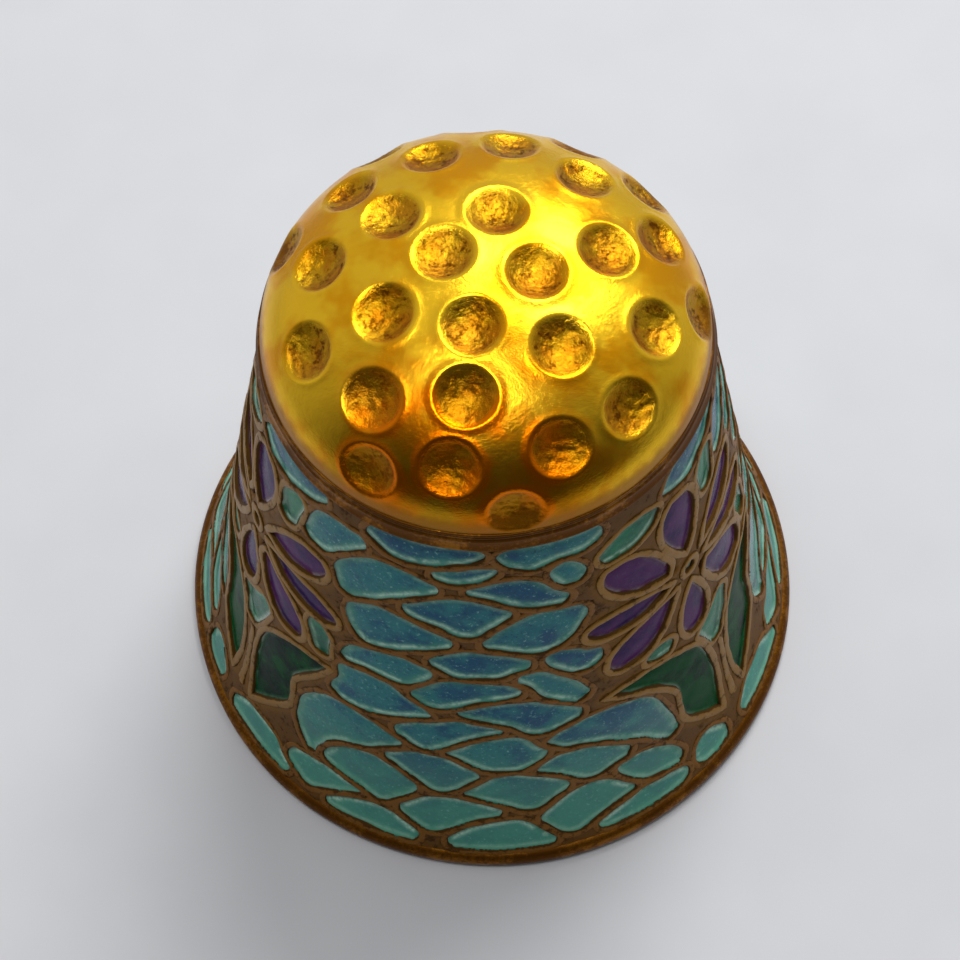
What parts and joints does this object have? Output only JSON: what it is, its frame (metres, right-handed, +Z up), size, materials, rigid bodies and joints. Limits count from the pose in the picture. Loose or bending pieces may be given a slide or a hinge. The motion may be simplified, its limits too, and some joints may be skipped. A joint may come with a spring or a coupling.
{
  "type": "thimble",
  "caption": "Cloisonne sewing thimble: a flared enamelled cone under a collar and a dimpled gilt crown, open below for a fingertip.",
  "frame": {"origin": "centre of the foot's rest plane, on the thimble's axis", "axes": "+Z up along the thimble's axis towards the crown, -Y towards the front scale panel"},
  "size_m": [0.022, 0.022, 0.0225],
  "materials": {
    "copper": "satin",
    "gilt_crown": "polished",
    "bronzed_brass": "satin",
    "scale_wire": "satin",
    "flower_wire": "satin",
    "ground_coat": "gloss",
    "turquoise_enamel": "gloss",
    "purple_enamel": "gloss",
    "leaf_enamel": "gloss",
    "accent_enamel": "gloss",
    "lining_enamel": "gloss"
  },
  "bodies": {
    "root": {"copper_body": "copper", "crown_cap": "gilt_crown", "collar_band": "bronzed_brass", "foot_rim": "bronzed_brass", "ground_coat": "ground_coat", "counter_enamel": "lining_enamel", "scale_wires_row_1": "scale_wire", "scale_wires_row_2": "scale_wire", "scale_wires_row_3": "scale_wire", "scale_wires_row_4": "scale_wire", "scale_wires_row_5": "scale_wire", "scale_wires_row_6": "scale_wire", "scale_wires_row_7": "scale_wire", "scale_wires_row_8": "scale_wire", "scale_wires_row_9": "scale_wire", "scale_wires_row_10": "scale_wire", "scale_wires_row_11": "scale_wire", "scale_wires_row_12": "scale_wire", "scale_wires_row_13": "scale_wire", "scale_enamel_row_1": "turquoise_enamel", "scale_enamel_row_2": "turquoise_enamel", "scale_enamel_row_3": "turquoise_enamel", "scale_enamel_row_4": "turquoise_enamel", "scale_enamel_row_5": "turquoise_enamel", "scale_enamel_row_6": "turquoise_enamel", "scale_enamel_row_7": "turquoise_enamel", "scale_enamel_row_8": "turquoise_enamel", "scale_enamel_row_9": "turquoise_enamel", "scale_enamel_row_10": "turquoise_enamel", "scale_enamel_row_11": "turquoise_enamel", "scale_enamel_row_12": "turquoise_enamel", "scale_enamel_row_13": "turquoise_enamel", "right_petal_wires": "flower_wire", "right_petal_enamel": "purple_enamel", "right_heart_wire": "flower_wire", "right_heart_enamel": "turquoise_enamel", "right_leaf_wires": "flower_wire", "right_leaf_enamel": "leaf_enamel", "right_stem_wire": "flower_wire", "right_accent_enamel": "accent_enamel", "left_petal_wires": "flower_wire", "left_petal_enamel": "purple_enamel", "left_heart_wire": "flower_wire", "left_heart_enamel": "turquoise_enamel", "left_leaf_wires": "flower_wire", "left_leaf_enamel": "leaf_enamel", "left_stem_wire": "flower_wire", "left_accent_enamel": "accent_enamel", "back_petal_wires": "flower_wire", "back_petal_enamel": "purple_enamel", "back_heart_wire": "flower_wire", "back_heart_enamel": "turquoise_enamel", "back_leaf_wires": "flower_wire", "back_leaf_enamel": "leaf_enamel", "back_stem_wire": "flower_wire", "back_accent_enamel": "accent_enamel"}
  },
  "joints": []
}
